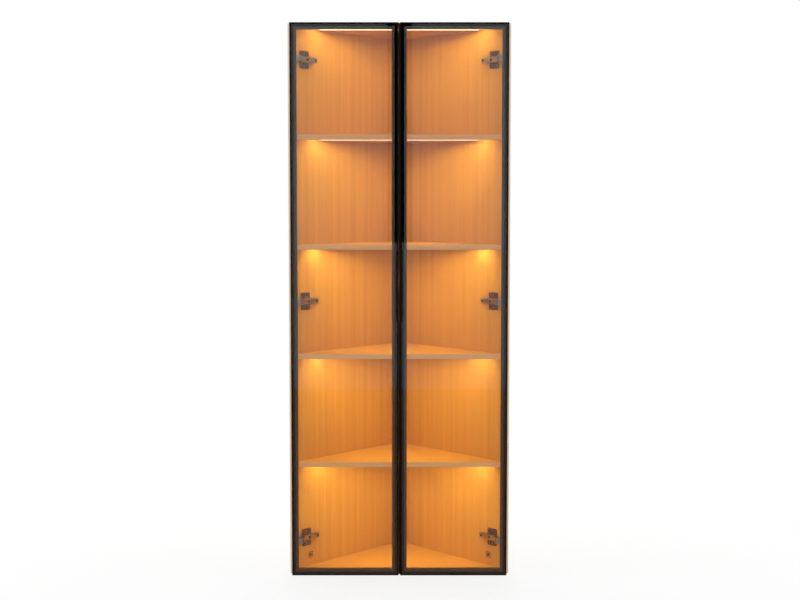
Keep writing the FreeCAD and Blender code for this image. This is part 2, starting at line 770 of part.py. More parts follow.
def arm_tail_tools():
    """The open slot at the tail, the adjusting screw's hole and the two rounded corners."""
    above = -ARM_SEAT - ARM_WALL - 1
    slot = box(
        ARM_TAIL - ARM_SLOT_LENGTH, ARM_TAIL + 1, above, 0, -ARM_SLOT_HALF, ARM_SLOT_HALF
    )
    tools = [slot, adjust_screw(clearance_hole, ADJUST_PLACES[0], 0)]
    for side in (-1, 1):
        z_round = side * (ARM_HALF - ARM_TAIL_ROUND)
        centre = V(ARM_TAIL - ARM_TAIL_ROUND, above, z_round)
        corner = box(centre.x, ARM_TAIL + 1, above, 0, z_round, side * (ARM_HALF + 1))
        tools.append(corner.cut(rod(ARM_TAIL_ROUND, centre, V(centre.x, 0, centre.z))))
    return tools


def adjust_screw(make, place, z):
    """A screw whose head lies on the arm and whose shank runs into the plate's rail."""
    start = V(place, -ARM_SEAT - ARM_WALL - ADJUST_HEAD, z)
    length = ADJUST_HEAD + ARM_WALL + ADJUST_DEPTH
    return make(start, V(0, 1, 0), length, ADJUST_SCREW_R, ADJUST_HEAD_R, ADJUST_HEAD)


def hinge_plate():
    """Winged mounting plate with the rail that carries the arm."""
    wings = box(PLATE_START, PLATE_START + PLATE_LENGTH, -PLATE_THICK, 0, -PLATE_HALF, PLATE_HALF)
    wings = rounded(wings, PLATE_ROUND, lambda size, _: same(size, PLATE_THICK))
    rail = box(RAIL_START, RAIL_END, -ARM_SEAT, 0, -RAIL_HALF, RAIL_HALF)
    return wings.fuse(rail).removeSplitter()


def hinge_cup():
    """Housing in the stile's pocket: front wall, two cheeks with the pins, and screw ears."""
    edge = -DOOR_OVERLAP + CUP_EDGE
    front = DOOR_FRONT + FLANGE_REAR
    rear = DOOR_REAR + CUP_PROUD
    inner = edge + CUP_SPAN
    wall = box(edge, inner + CUP_APRON, front, front + CUP_WALL, -CUP_HALF, CUP_HALF)
    cheek = [
        (edge, front),
        (inner, front),
        (inner, front + FLANGE_REAR),
        (edge + CUP_SPAN / 2 + EYE_R, rear),
        (edge, rear),
    ]
    block = prism(cheek, -CUP_HALF, CUP_HALF)
    block = block.cut(prism(cheek, -CUP_CAVITY_HALF, CUP_CAVITY_HALF))
    ear_x = -DOOR_OVERLAP + EAR_FROM_EDGE
    ears = [
        rounded(
            box(ear_x, ear_x + EAR_WIDTH, DOOR_REAR, rear, s * CUP_CAVITY_HALF, s * EAR_HALF),
            EAR_ROUND,
            lambda size, c: same(size, CUP_PROUD) and same(abs(c.z), EAR_HALF),
        )
        for s in (-1, 1)
    ]
    cup = wall.fuse([block] + ears)
    holes = [
        upright(PIN_R + PIN_CLEARANCE, p, -CUP_HALF, CUP_HALF)
        for p in (CUP_PIVOT, CUP_INNER_PIVOT)
    ]
    return cup.cut(holes + [ear_screw(clearance_hole, s) for s in (-1, 1)]).removeSplitter()


def ear_screw(make, side):
    """A pan-head screw through a cup ear into the stile's rear wall."""
    x = -DOOR_OVERLAP + EAR_FROM_EDGE + EAR_WIDTH / 2
    start = V(x, DOOR_REAR + CUP_PROUD + DOOR_SCREW_HEAD, side * EAR_SCREW_HALF)
    length = CUP_PROUD + DOOR_SCREW_HEAD + FRAME_WALL
    return make(start, V(0, -1, 0), length, DOOR_SCREW_R, DOOR_SCREW_HEAD_R, DOOR_SCREW_HEAD)


def stile_pocket():
    """Room for the cup in the hinge stile, and the two screw holes in its rear wall."""
    x0 = -DOOR_OVERLAP + CUP_EDGE - POCKET_CLEARANCE
    x1 = -DOOR_OVERLAP + FRAME_WIDTH + 1
    half = CUP_HALF + POCKET_CLEARANCE
    rear = DOOR_REAR + 1
    pocket = box(x0, x1, DOOR_FRONT + FLANGE_REAR, rear, -half, half)
    notch_half = CUP_CAVITY_HALF
    notch = box(-DOOR_OVERLAP - 1, x0, DOOR_REAR - LINK_NOTCH, rear, -notch_half, notch_half)
    return pocket.fuse([notch] + [ear_screw(clearance_hole, s) for s in (-1, 1)])


def arm_pins():
    return [upright(PIN_R, p, -ARM_HALF, ARM_HALF) for p in (ARM_PIVOT, NOSE_PIVOT)]


def cup_pins():
    """Two stub pins for the fork and one through pin for the inner link."""
    stubs = [
        upright(PIN_R, CUP_PIVOT, FORK_GAP_HALF, CUP_HALF),
        upright(PIN_R, CUP_PIVOT, -CUP_HALF, -FORK_GAP_HALF),
    ]
    return stubs + [upright(PIN_R, CUP_INNER_PIVOT, -CUP_HALF, CUP_HALF)]


# ---- dust seal and bumpers ----
def dust_seal():
    """Adhesive strip on the right door's meeting edge with a fin across the gap."""
    edge = DOOR_MEETING_GAP / 2
    rear = DOOR_REAR - SEAL_FROM_REAR
    z0, z1 = Z_DOOR + FRAME_WIDTH, Z_DOOR + DOOR_HEIGHT - FRAME_WIDTH
    base = box(edge - SEAL_BASE_THICK, edge, rear - SEAL_BASE, rear, z0, z1)
    middle = rear - SEAL_BASE / 2
    y0, y1 = middle - SEAL_FIN / 2, middle + SEAL_FIN / 2
    fin = box(-edge + SEAL_TIP_GAP, edge, y0, y1, z0, z1)
    low, high = handle_ends()
    relief = box(
        -edge,
        -edge + HANDLE_WALL + SEAL_HANDLE_GAP,
        y0,
        y1,
        low - SEAL_HANDLE_GAP,
        high + SEAL_HANDLE_GAP,
    )
    return base.fuse(fin.cut(relief)).removeSplitter()


def left_bumpers():
    x = -DOOR_MEETING_GAP / 2 - FRAME_WIDTH / 2
    heights = (Z_CASE + BUMPER_INSET, Z_TOP - BUMPER_INSET)
    return [rod(BUMPER_R, V(x, DOOR_REAR, z), V(x, 0, z)) for z in heights]


# ---- doors and hinges on both sides ----
def left_side_pieces():
    pockets = [at_left_hinge(stile_pocket(), z) for z in HINGE_HEIGHTS]
    handle_holes = [handle_screw(clearance_hole, s) for s in (-1, 1)]
    pieces = {
        "hinge_stile": [left_outer_stile().cut(pockets)],
        "meeting_stile": [left_inner_stile().cut(handle_holes)],
        "top_rail": [left_rail(top=True)],
        "bottom_rail": [left_rail(top=False)],
        "glass": [left_glass()],
        "glazing_tape": [left_tape()],
        "corner_keys": left_corner_keys(),
        "handle": [left_handle()],
        "door_bumpers": left_bumpers(),
        "handle_screws": [handle_screw(headed, s) for s in (-1, 1)],
    }
    hinge_pieces = {
        "hinge_arms": [hinge_arm()],
        "outer_links": [outer_link()],
        "inner_links": [inner_link()],
        "hinge_cups": [hinge_cup()],
        "arm_pins": arm_pins(),
        "cup_pins": cup_pins(),
        "cup_screws": [ear_screw(headed, s) for s in (-1, 1)],
    }
    for name, solids in hinge_pieces.items():
        pieces[name] = [at_left_hinge(s, z) for z in HINGE_HEIGHTS for s in solids]
    adjusting = [(place, z) for z in HINGE_HEIGHTS for place in ADJUST_PLACES]
    holes = [s for z in HINGE_HEIGHTS for s in plate_screw(clearance_hole, z)]
    holes += [on_left_panel(adjust_screw(clearance_hole, *a)) for a in adjusting]
    plates = [on_left_panel(moved(hinge_plate(), z=z)) for z in HINGE_HEIGHTS]
    pieces["hinge_plates"] = [p.cut(holes) for p in plates]
    pieces["plate_screws"] = [s for z in HINGE_HEIGHTS for s in plate_screw(headed, z)]
    pieces["hinge_adjusting_screws"] = [on_left_panel(adjust_screw(headed, *a)) for a in adjusting]
    return pieces


def build_doors():
    """Each piece in a node of its own, except the kinds that share one for both sides."""
    for name, solids in left_side_pieces().items():
        others = [mirrored(s) for s in solids]
        if name in ("arm_pins", "plate_screws", "hinge_adjusting_screws"):
            add(name, *solids, *others)
        else:
            add(f"left_{name}", *solids)
            add(f"right_{name}", *others)
    add("dust_seal", dust_seal())


def build_all():
    build_case()
    build_grommet()
    build_lights()
    build_doors()


build_all()
os.makedirs("parts", exist_ok=True)
for node, shape in NODES.items():
    shape.exportStep(f"parts/{node}.step")
    print(node, len(shape.Solids), shape.isValid(), round(shape.Volume / 1000, 1), "cm3")
print("nodes", len(NODES))
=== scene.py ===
import json
import math

import bpy
from mathutils import Matrix, Vector

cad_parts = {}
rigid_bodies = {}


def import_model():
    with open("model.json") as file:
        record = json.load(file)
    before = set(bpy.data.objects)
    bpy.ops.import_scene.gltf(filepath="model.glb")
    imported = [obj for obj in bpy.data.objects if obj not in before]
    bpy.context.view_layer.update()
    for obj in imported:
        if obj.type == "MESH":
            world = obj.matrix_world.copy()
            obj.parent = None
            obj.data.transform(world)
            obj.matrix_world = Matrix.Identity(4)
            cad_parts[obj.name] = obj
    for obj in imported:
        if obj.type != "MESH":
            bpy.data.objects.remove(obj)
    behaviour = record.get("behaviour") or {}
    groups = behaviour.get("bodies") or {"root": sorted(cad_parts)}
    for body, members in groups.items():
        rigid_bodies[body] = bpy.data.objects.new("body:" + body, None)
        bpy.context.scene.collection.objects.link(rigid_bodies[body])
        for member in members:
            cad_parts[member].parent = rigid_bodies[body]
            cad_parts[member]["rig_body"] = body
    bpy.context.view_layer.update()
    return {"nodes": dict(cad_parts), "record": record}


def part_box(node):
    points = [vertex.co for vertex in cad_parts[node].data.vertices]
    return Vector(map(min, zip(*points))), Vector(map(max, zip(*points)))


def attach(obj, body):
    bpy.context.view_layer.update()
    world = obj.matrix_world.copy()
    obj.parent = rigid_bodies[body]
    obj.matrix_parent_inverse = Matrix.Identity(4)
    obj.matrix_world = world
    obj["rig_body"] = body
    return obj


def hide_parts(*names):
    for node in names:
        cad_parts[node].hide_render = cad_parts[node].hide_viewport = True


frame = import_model()

# Metres. +X is to the right of someone facing the doors, +Y points at the room corner, +Z is up.
MM = 0.001
SQRT2 = math.sqrt(2.0)
FLOOR_Z = 0.0

# ---- camera ----
IMAGE_WIDTH = 800
FOCAL_PX = 1303.0
CAMERA_DISTANCE = 4.676       # in front of the doors
CAMERA_RIGHT = 0.0024
CAMERA_HEIGHT = 1.390
CAMERA_PITCH = math.radians(3.822)
CAMERA_SHIFT_PX = -18.3
SENSOR = 36.0

# ---- places that finishes and lights share ----
BOARD = 18.0 * MM
CORNER_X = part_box("edge_bands")[1].x - BOARD / SQRT2      # inner front corner of a side panel
CORNER_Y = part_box("edge_bands")[0].y
GLASS_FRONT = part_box("left_glass")[0].y
STRIP_END_DARK = 27.0 * MM    # from the last lamp to the end of a light bar

# ---- colours, linear ----
WHITE = (1.0, 1.0, 1.0)
INNER_BOARD_PAINTED_WARM = (0.66, 0.35, 0.065), (0.52, 0.26, 0.04)     # pale and dark grain, with the warm light's amber painted in
OUTER_BOARD = (0.64, 0.44, 0.245), (0.53, 0.35, 0.18)
# edge bands: partly their own paler tone, partly painted light from the room through the glass
SHELF_BAND_WITH_PAINTED_LIGHT = (0.80, 0.61, 0.42), (0.71, 0.52, 0.35)
PANEL_BAND_WITH_PAINTED_LIGHT = (0.85, 0.64, 0.46), (0.75, 0.56, 0.38)
PORE_COLOUR = (0.30, 0.15, 0.04)
WARM_LIGHT = (1.0, 0.76, 0.30)


# ---- shader maths ----
class Value:
    """A shader socket that takes part in arithmetic and adds its own Math nodes."""

    def __init__(self, nodes, socket):
        self.nodes = nodes
        self.socket = socket

    def _math(self, operation, *operands):
        node = self.nodes.tree.nodes.new("ShaderNodeMath")
        node.operation = operation
        for slot, operand in zip(node.inputs, operands):
            self.nodes.feed(slot, operand)
        return Value(self.nodes, node.outputs[0])

    def __add__(self, other):
        return self._math("ADD", self, other)

    def __radd__(self, other):
        return self._math("ADD", other, self)

    def __sub__(self, other):
        return self._math("SUBTRACT", self, other)

    def __rsub__(self, other):
        return self._math("SUBTRACT", other, self)

    def __mul__(self, other):
        return self._math("MULTIPLY", self, other)

    def __rmul__(self, other):
        return self._math("MULTIPLY", other, self)

    def __truediv__(self, other):
        return self._math("DIVIDE", self, other)

    def __lt__(self, other):
        return self._math("LESS_THAN", self, other)

    def __gt__(self, other):
        return self._math("GREATER_THAN", self, other)

    def magnitude(self):
        return self._math("ABSOLUTE", self)

    def at_most(self, other):
        return self._math("MINIMUM", self, other)

    def at_least(self, other):
        return self._math("MAXIMUM", self, other)

    def clamped(self):
        return self.at_least(0.0).at_most(1.0)

    def rise(self, start, width):
        """0 below a start, 1 above the start and a width, and straight in between."""
        return ((self - start) / width).clamped()


class Nodes:
    """A node tree and the one way in which nodes are added to it."""

    def __init__(self, tree):
        self.tree = tree

    def feed(self, socket, value):
        if isinstance(value, Value):
            self.tree.links.new(value.socket, socket)
        elif isinstance(value, (tuple, list)) and len(value) == 3 and socket.type == "RGBA":
            socket.default_value = (*value, 1.0)
        else:
            socket.default_value = value

    def node(self, kind, output=0, settings=None, **inputs):
        """Adds a node and returns one output; inputs go by name, or as i0, i1 by number."""
        node = self.tree.nodes.new("ShaderNode" + kind)
        for name, value in (settings or {}).items():
            setattr(node, name, value)
        for name, value in inputs.items():
            key = int(name[1:]) if name[0] == "i" and name[1:].isdigit() else name.replace("_", " ")
            self.feed(node.inputs[key], value)
        return Value(self, node.outputs[output])

    def ray(self, kind):
        """What the light path says of a ray. Depths are whole, so they are tested half-way."""
        return self.node("LightPath", output=kind)


class Finish(Nodes):
    """One surface finish: a material, its Principled shader and the nodes that vary it."""

    def __init__(self, name, **sockets):
        self.material = bpy.data.materials.new(name)
        self.material.use_nodes = True
        super().__init__(self.material.node_tree)
        self.shader = self.tree.nodes["Principled BSDF"]
        self.set(**sockets)

    def set(self, **sockets):
        for socket, value in sockets.items():
            self.feed(self.shader.inputs[socket.replace("_", " ")], value)

    def show(self, surface):
        """Puts a mixed or emitting surface in the Principled shader's place."""
        self.feed(self.tree.nodes["Material Output"].inputs["Surface"], surface)

    def place(self, scale=(1, 1, 1)):
        """Object coordinates, stretched."""
        coordinates = self.node("TexCoord", output="Object")
        return self.node("Mapping", Vector=coordinates, Scale=scale)

    def along(self, axis):
        """The object coordinate along X, Y or Z."""
        return self.node("SeparateXYZ", output=axis, Vector=self.place())

    def noise(self, scale, detail=3.0, roughness=0.5, vector=None):
        vector = vector or self.place()
        return self.node("TexNoise", Vector=vector, Scale=scale, Detail=detail, Roughness=roughness)

    def blend(self, factor, first, second):
        """Mixes two colours."""
        return self.node("Mix", output=2, settings={"data_type": "RGBA"}, i0=factor, i6=first, i7=second)

    def bump(self, height, distance):
        normal = self.node("Bump", Height=height, Distance=distance, Strength=0.4)
        self.set(Normal=normal)


def height_over_panel(finish):
    """How far a point stands off the inner face of its side panel."""
    across = finish.along("X").magnitude()
    return ((CORNER_X - across) - (finish.along("Y") - CORNER_Y)) / SQRT2


# ---- wood ----
UPRIGHT = (1.0, 1.0, 0.01)    # how a pattern is stretched along the grain
LEVEL = (0.01, 1.0, 1.0)
STREAKS, FIBRES, PORES = 55.0, 210.0, 620.0     # to the metre, across the grain
STREAK_CONTRAST, FIBRE_CONTRAST = 1.5, 1.4
PORE_START, PORE_WIDTH = 0.62, 1.0 / 7.0
PORE_DARKNESS = 0.22
PRINT_DEPTH = 0.1 * MM
BOARD_SPECULAR = 0.35
SKIN = 1.0 * MM               # thickness of the face that takes the other of a board's two colours: painted warm amber inside, plain oak outside


def grain_pattern(finish, direction):
    """Straight wood grain: how pale it is, and where its dark pores lie."""
    place = finish.place(scale=direction)
    streaks = finish.noise(STREAKS, detail=2.0, vector=place)
    fibres = finish.noise(FIBRES, detail=4.0, roughness=0.6, vector=place)
    pores = finish.noise(PORES, detail=1.0, roughness=0.7, vector=place)
    pale = (streaks - 0.5) * STREAK_CONTRAST + (fibres - 0.5) * FIBRE_CONTRAST + 0.5
    return pale.clamped(), pores.rise(PORE_START, PORE_WIDTH)


def finish_wood(finish, pattern, pale, dark):
    """Melamine-faced board: the printed grain is also pressed into the surface."""
    tone, pores = pattern
    colour = finish.blend(tone, dark, pale)
    colour = finish.blend(pores * PORE_DARKNESS, colour, PORE_COLOUR)
    finish.set(Base_Color=colour, Roughness=0.44 + tone * 0.12 + pores * 0.1)
    finish.bump(tone - pores * 0.6, PRINT_DEPTH)
    return finish.material


def two_woods(finish, where, first, second):
    """Pale and dark grain colours that change from one pair to another."""
    return [finish.blend(where, *pair) for pair in zip(first, second)]


def board_finish(name, direction, find_outside):
    """Board whose inner faces have the warm light's amber painted into their colour, and plain oak on
    its outer face.
    """
    finish = Finish(name, Specular_IOR_Level=BOARD_SPECULAR)
    woods = two_woods(finish, find_outside(finish), INNER_BOARD_PAINTED_WARM, OUTER_BOARD)
    return finish_wood(finish, grain_pattern(finish, direction), *woods)


def outside_of_panel(finish):
    return height_over_panel(finish) < -SKIN


def outside_of_shelf(finish):
    """Only the top of the cabinet and its underside."""
    height = finish.along("Z")
    low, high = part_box("bottom_panel")[0].z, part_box("top_panel")[1].z
    return (height > high - SKIN).at_least(height < low + SKIN)


def band_finish(name):
    """Edge band: its grain is upright on the side panels and level on the shelves. Its pale colours are
    partly its own tone and partly painted light from the room through the glass.
    """
    finish = Finish(name, Specular_IOR_Level=BOARD_SPECULAR)
    on_panel = finish.along("X").magnitude() > CORNER_X - 1.2 * MM
    patterns = [grain_pattern(finish, direction) for direction in (LEVEL, UPRIGHT)]
    pattern = [level + on_panel * (upright - level) for level, upright in zip(*patterns)]
    return finish_wood(finish, pattern, *two_woods(finish, on_panel, SHELF_BAND_WITH_PAINTED_LIGHT, PANEL_BAND_WITH_PAINTED_LIGHT))


# ---- metal, glass and plastic ----
LIP_REAR = 4.6 * MM           # a door frame's bare lip ends this far behind the glass front
LIP_SHADES = (0.92, 0.88, 0.82), (1.16, 1.10, 1.04)       # of the lip's tone
# Colour behind the glass, tone of the lip in front of it, roughness.
FRAME_LOOK = (0.0245, 0.024, 0.02), 0.0045, 0.36
HANDLE_LOOK = (0.007, 0.0065, 0.006), 0.007, 0.30
SCRATCH_DEPTH = 0.02 * MM
MOULD_DEPTH = 0.04 * MM


def frame_finish(name, direction, body, tone, rough):
    """Black anodised aluminium with faint drawing lines along the profile."""
    finish = Finish(name, Metallic=1.0)
    cloud = finish.noise(7.0)
    lines = finish.noise(160.0, detail=1.0, vector=finish.place(scale=direction))
    darker, paler = [[tone * share for share in shades] for shades in LIP_SHADES]
    lip = finish.blend((cloud * 0.4 + lines * 0.6).clamped(), darker, paler)
    under_glass = finish.along("Y") > GLASS_FRONT + LIP_REAR
    finish.set(Base_Color=finish.blend(under_glass, lip, body), Roughness=rough + cloud * 0.05)
    return finish.material


def glass_finish():
    finish = Finish("clear_glass", Transmission_Weight=1.0, IOR=1.46, Roughness=0.0)
    waves = finish.noise(1.3, detail=1.0)
    finish.set(Base_Color=finish.blend(waves, (0.86, 0.855, 0.84), (0.90, 0.895, 0.88)))
    return finish.material


def metal_finish(name, darker, paler, rough):
    finish = Finish(name, Metallic=1.0)
    cloud = finish.noise(60.0, detail=4.0)
    scratches = finish.noise(900.0)
    finish.set(
        Base_Color=finish.blend(cloud, darker, paler),
        Roughness=rough + scratches * 0.14 + cloud * 0.06,
    )
    finish.bump(scratches, SCRATCH_DEPTH)
    return finish.material


def plastic_finish(name, darker, paler, rough):
    finish = Finish(name, Specular_IOR_Level=0.4)
    cloud = finish.noise(40.0)
    grain = finish.noise(1500.0, detail=2.0)
    finish.set(Base_Color=finish.blend(cloud, darker, paler), Roughness=rough + grain * 0.12)
    finish.bump(grain, MOULD_DEPTH)
    return finish.material


LAMPS_TO_METRE = 120
LAMP_FADE = 4.0 * MM


def lamp_finish():
    """Opal cover, lit from behind, a little uneven where the single lamps sit."""
    finish = Finish("lit_opal_cover", Roughness=0.5, Emission_Strength=4.0)
    dots = finish.noise(1.0, detail=1.0, vector=finish.place(scale=(LAMPS_TO_METRE, 1, 1)))
    glow = finish.blend(dots, (1.0, 0.80, 0.50), (1.0, 0.84, 0.57))
    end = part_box("light_channel_1")[1].x - STRIP_END_DARK
    unlit = finish.along("X").magnitude().rise(end - LAMP_FADE, LAMP_FADE)
    finish.set(Base_Color=glow, Emission_Color=finish.blend(unlit, glow, (0.10, 0.05, 0.015)))
    return finish.material


SEAT_HEIGHT = 1.2 * MM        # over the panel; the sunk screw seats lie lower and are painted near-black shade
WING_HEIGHT = 5.0 * MM        # the arms lie higher than the plates' wings; upward from here the colour is painted lighter


def hinge_plate_finish():
    """Dark nickel with painted light and shade: painted bright on the higher arms, painted shade on the
    lower wings and near-black painted shade in the screw seats.
    """
    finish = Finish("dark_nickel_painted_light_shade", Metallic=1.0)
    cloud = finish.noise(60.0, detail=4.0)
    scratches = finish.noise(900.0)
    height = height_over_panel(finish)
    # painted shade on the low wings and painted highlight on the higher arms, blended by height over the
    # panel
    wing = finish.blend(cloud, (0.11, 0.082, 0.062), (0.20, 0.155, 0.12))
    arm = finish.blend(cloud, (0.34, 0.30, 0.265), (0.46, 0.41, 0.36))
    face = finish.blend(height.rise(WING_HEIGHT, 5.0 * MM), wing, arm)
    finish.set(
        # the sunk screw seats get near-black painted shade
        Base_Color=finish.blend(height.rise(SEAT_HEIGHT, 1.0 * MM), (0.03, 0.018, 0.012), face),
        Roughness=0.20 + scratches * 0.12 + cloud * 0.06,
    )
    finish.bump(scratches, SCRATCH_DEPTH)
    return finish.material


KEY_PLATE_X = CORNER_X - 82.0 * MM / SQRT2      # over the feet, 82 mm along each side panel
KEY_PLATE_SEAM = 8.4 * MM     # from the middle of a cover plate to its seam, where a painted shadow starts
KEY_SOCKET = 5.2 * MM         # from the middle to the edge of the socket, which is painted shade


def key_plate_finish():
    """Wood-coloured plastic with the inner boards' painted warm amber; a painted shadow darkens its seam
    and painted shade its key socket.
    """
    finish = Finish("key_plate_plastic", Specular_IOR_Level=0.4)
    low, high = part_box("foot_key_plates")
    side = (finish.along("X").magnitude() - KEY_PLATE_X).magnitude() * SQRT2
    up = (finish.along("Z") - (low.z + high.z) / 2).magnitude()
    farthest = side.at_least(up)
    # the seam ring gets a painted shadow and the key socket painted shade
    seam = farthest.rise(KEY_PLATE_SEAM, 1.0 * MM)
    socket = 1.0 - farthest.rise(KEY_SOCKET, 1.0 * MM)
    cloud = finish.noise(40.0)
    # plain tone: wood colour carrying the inner boards' painted warm amber
    plain = finish.blend(cloud, (0.46, 0.25, 0.07), (0.54, 0.30, 0.09))
    finish.set(
        Base_Color=finish.blend(seam.at_least(socket), plain, (0.06, 0.022, 0.008)),
        Roughness=0.4 + cloud * 0.12,
    )
    finish.bump(finish.noise(1500.0, detail=2.0), MOULD_DEPTH)
    return finish.material


# ---- a finish for every piece ----
METALS = {                    # darker and paler tone, roughness
    "blackened_screw": ((0.03, 0.024, 0.02), (0.07, 0.058, 0.05), 0.3),
    "plated_steel": ((0.20, 0.19, 0.175), (0.34, 0.325, 0.30), 0.24),
    "dark_zinc_screw": ((0.16, 0.155, 0.145), (0.30, 0.29, 0.275), 0.22),
    "satin_aluminium": ((0.60, 0.59, 0.57), (0.68, 0.67, 0.65), 0.34),
}
PLASTICS = {                  # by slot: finish, darker and paler tone, roughness
    # glazing tape: its dark tone is lifted and warmed with painted warm light from inside the cabinet
    "glazing_tape": ("foam_tape_painted_warm_light", (0.20, 0.15, 0.09), (0.24, 0.18, 0.108), 0.8),
    "light_tape": ("lamp_tape", (0.8, 0.74, 0.6), (0.9, 0.84, 0.7), 0.5),
    "light_cap": ("lamp_end_cap", (0.38, 0.36, 0.33), (0.46, 0.44, 0.4), 0.5),
    "foot": ("foot_plastic", (0.02, 0.02, 0.02), (0.035, 0.035, 0.035), 0.5),
    "glide": ("glide_plastic", (0.02, 0.02, 0.02), (0.035, 0.035, 0.035), 0.55),
    "bumper": ("soft_bumper", (0.6, 0.6, 0.58), (0.7, 0.7, 0.68), 0.3),
    "seal": ("seal_rubber", (0.02, 0.014, 0.01), (0.035, 0.024, 0.017), 0.7),
    "grommet": ("grommet_rubber", (0.015, 0.015, 0.015), (0.03, 0.03, 0.03), 0.65),
}
metals = {name: metal_finish(name, *look) for name, look in METALS.items()}
finishes = {slot: plastic_finish(*look) for slot, look in PLASTICS.items()}
finishes.update({
    "wood_board": board_finish("board_level_grain", LEVEL, outside_of_shelf),
    "edge_band": band_finish("edge_band_grain"),
    "door_frame": frame_finish("black_anodised_stile", UPRIGHT, *FRAME_LOOK),
    "handle": frame_finish("black_anodised_handle", UPRIGHT, *HANDLE_LOOK),
    "door_glass": glass_finish(),
    "corner_key": metals["satin_aluminium"],
    "hinge_black": hinge_plate_finish(),
    "hinge_steel": metals["plated_steel"],
    "fastener": metals["dark_zinc_screw"],
    "light_channel": metals["satin_aluminium"],
    "light_diffuser": lamp_finish(),
    "key_plate": key_plate_finish(),
})
panel_wood = board_finish("board_upright_grain", UPRIGHT, outside_of_panel)
black_rail = frame_finish("black_anodised_rail", LEVEL, *FRAME_LOOK)
slots = {part["node"]: part["material_slot"] for part in frame["record"]["subparts"]}


def finish_of(node):
    """The finish of a piece: its slot's, apart from grain that runs another way and dark screws."""
    if node.endswith("side_panel"):
        return panel_wood
    if node.endswith("rail"):
        return black_rail
    if node == "hinge_adjusting_screws":
        return metals["blackened_screw"]
    return finishes[slots[node]]


def dress(piece, node):
    piece.data.materials.clear()
    piece.data.materials.append(finish_of(node))


for node_name, carried_piece in frame["nodes"].items():
    dress(carried_piece, node_name)


# ---- ways of working on a piece ----
DISC_SIDES = 32
SHARP_EDGE = 0.6              # radians between two faces
MERGE = 0.004 * MM


def select_only(piece):
    bpy.ops.object.select_all(action="DESELECT")
    piece.select_set(True)
    bpy.context.view_layer.objects.active = piece


def pick(piece, kind, wanted):
    """In edit mode, selects just the vertices, edges or faces that pass the test."""
    select_only(piece)
    bpy.ops.object.mode_set(mode="EDIT")
    bpy.ops.mesh.select_mode(type=kind)
    bpy.ops.mesh.select_all(action="DESELECT")
    bpy.ops.object.mode_set(mode="OBJECT")
    mesh = piece.data
    if kind == "VERT":
        for vertex in mesh.vertices:
            vertex.select = wanted(vertex.co)
    elif kind == "EDGE":
        for edge in mesh.edges:
            start, end = [mesh.vertices[i].co for i in edge.vertices]
            edge.select = wanted((start + end) / 2)
    else:
        for face in mesh.polygons:
            face.select = wanted(face.normal)
    bpy.ops.object.mode_set(mode="EDIT")


def leave_editing():
    bpy.ops.mesh.select_all(action="SELECT")
    bpy.ops.mesh.normals_make_consistent(inside=False)
    bpy.ops.object.mode_set(mode="OBJECT")


def settled(name):
    """The primitive just added, with its place and size moved into its mesh."""
    piece = bpy.context.object
    piece.name = name
    bpy.ops.object.transform_apply(location=True, rotation=True, scale=True)
    return piece


def block(name, low, high):
    """A cuboid between two corners."""
    bpy.ops.object.select_all(action="DESELECT")
    low, high = Vector(low), Vector(high)
    bpy.ops.mesh.primitive_cube_add(size=1.0, location=(low + high) / 2, scale=high - low)
    return settled(name)


def disc(name, radius, top, bottom):
    """A round bar along Z between two heights."""
    bpy.ops.object.select_all(action="DESELECT")
    bpy.ops.mesh.primitive_cylinder_add(
        vertices=DISC_SIDES, radius=radius, depth=top - bottom, location=(0, 0, (top + bottom) / 2)
    )
    return settled(name)


def apply_modifier(piece, kind, **settings):
    select_only(piece)
    modifier = piece.modifiers.new(kind.lower(), kind)
    for name, value in settings.items():
        setattr(modifier, name, value)
    bpy.ops.object.modifier_apply(modifier=modifier.name)


def smooth(piece):
    select_only(piece)
    bpy.ops.object.shade_smooth_by_angle(angle=SHARP_EDGE)


def soften(piece, width):
    """Rounds every sharp edge a little, so that it catches the light."""
    apply_modifier(
        piece, "BEVEL", width=width, segments=2, limit_method="ANGLE", angle_limit=SHARP_EDGE,
        use_clamp_overlap=True,
    )
    smooth(piece)


def cut_with(piece, cutter):
    apply_modifier(piece, "BOOLEAN", operation="DIFFERENCE", object=cutter, solver="EXACT")
    bpy.data.objects.remove(cutter)


def joined(pieces, name):
    """One piece from several, each with its own mesh."""
    bpy.ops.object.select_all(action="DESELECT")
    for piece in pieces:
        piece.select_set(True)
    bpy.context.view_layer.objects.active = pieces[0]
    bpy.ops.object.join()
    pieces[0].name = name
    return pieces[0]


def own_copy(piece, name):
    copy = bpy.data.objects.new(name, piece.data.copy())
    bpy.context.scene.collection.objects.link(copy)
    return copy


def copied_to(piece, name, place, outward):
    """A copy whose Z is turned to a direction and whose origin is moved to a place."""
    copy = own_copy(piece, name)
    upright_sides = Vector((0, 0, 1)) if abs(outward.z) < 0.5 else Vector((0, 1, 0))
    across = upright_sides.cross(outward).normalized()
    turn = Matrix((across, outward.cross(across), outward)).transposed().to_4x4()
    copy.data.transform(Matrix.Translation(place) @ turn)
    return copy


def shaped_copy(node, name):
    """A merged copy of a carried-over piece, ready to be shaped."""
    piece = own_copy(frame["nodes"][node], name)
    pick(piece, "VERT", lambda place: True)
    bpy.ops.mesh.remove_doubles(threshold=MERGE)
    leave_editing()
    return piece


def fit_instead(piece, node):
    """Lets a modelled piece stand for a carried-over one."""
    dress(piece, node)
    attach(piece, frame["nodes"][node]["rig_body"])
    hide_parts(node)


def add_rounded(node, suffix, width):
    """A carried-over piece with its edges rounded."""
    piece = shaped_copy(node, f"{node}_{suffix}")
    soften(piece, width)
    fit_instead(piece, node)


